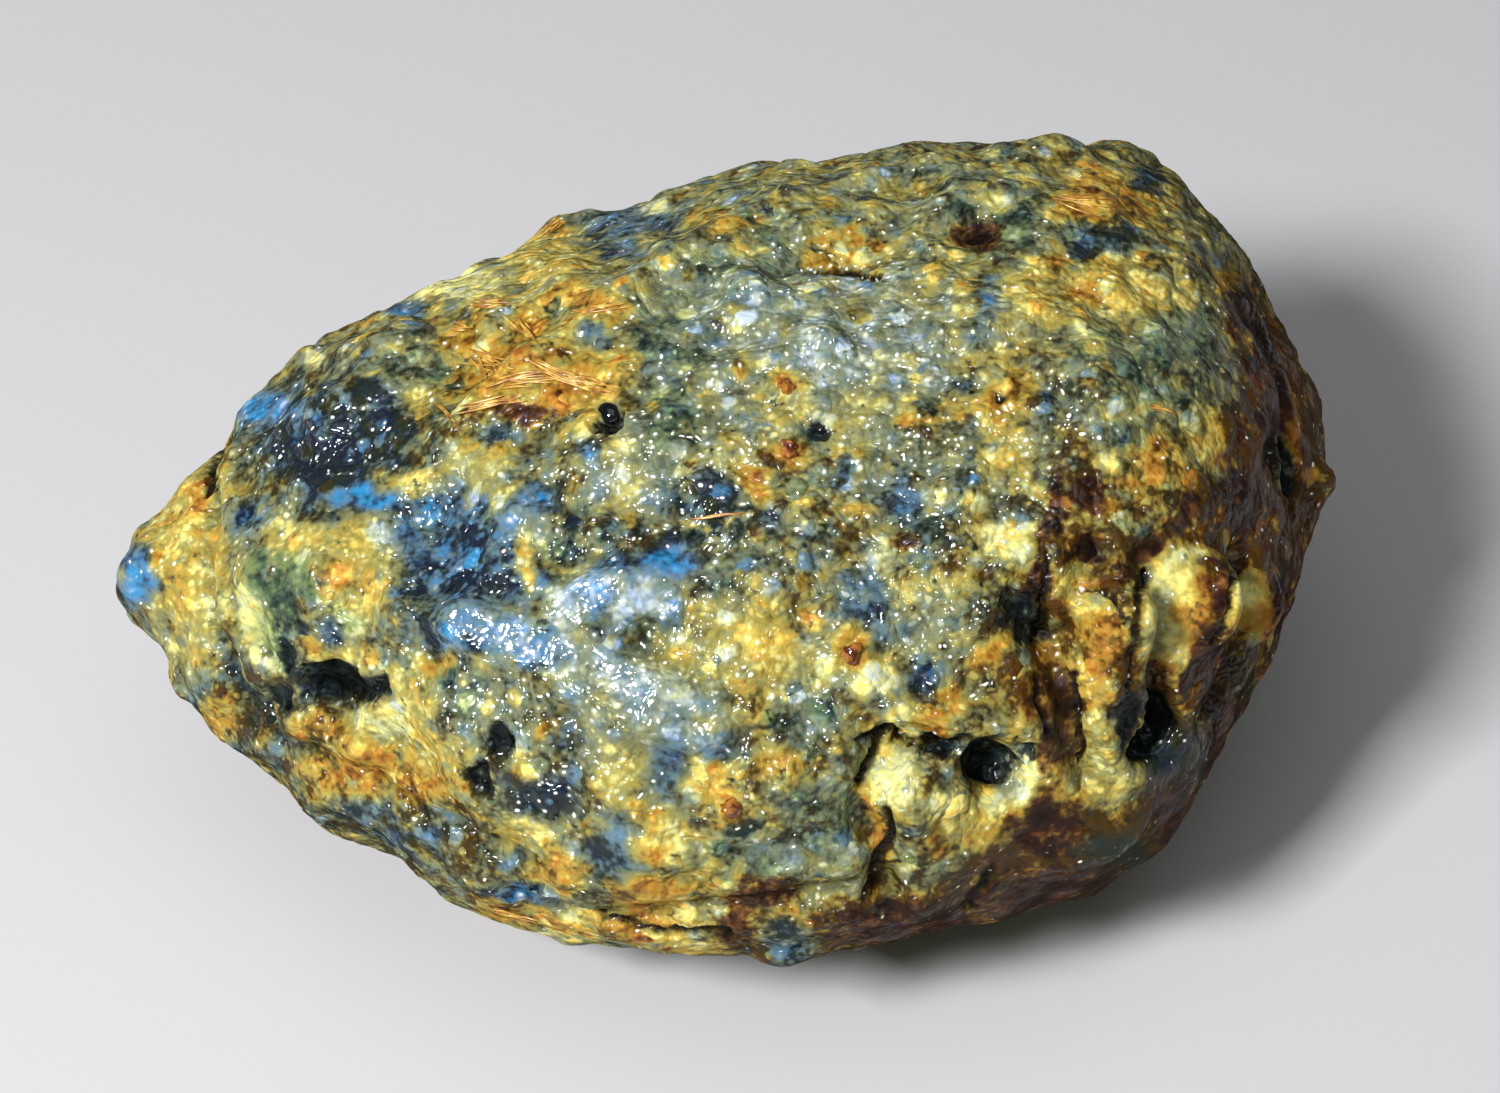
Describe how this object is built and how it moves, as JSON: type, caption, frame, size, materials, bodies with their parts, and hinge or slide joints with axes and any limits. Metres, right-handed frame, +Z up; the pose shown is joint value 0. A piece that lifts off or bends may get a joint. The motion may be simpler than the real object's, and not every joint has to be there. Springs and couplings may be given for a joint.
{
  "type": "rough blue amber",
  "caption": "Egg-shaped raw blue amber nugget lying on its side, with a pebbly glossy skin of yellow crust over blue-green resin, pits, cracks and resin runs.",
  "frame": {"origin": "middle of the small worn flat under the nugget, on the surface it lies on", "axes": "+X along the length from the narrow nose to the blunt end, +Y away from the face in the picture, +Z up"},
  "size_m": [0.0424, 0.0324, 0.0235],
  "materials": {
    "amber_nugget": "wet-looking glossy fossil resin, mottled yellow, rust, blue and green"
  },
  "bodies": {
    "root": {"amber_nugget": "amber_nugget"}
  },
  "joints": []
}
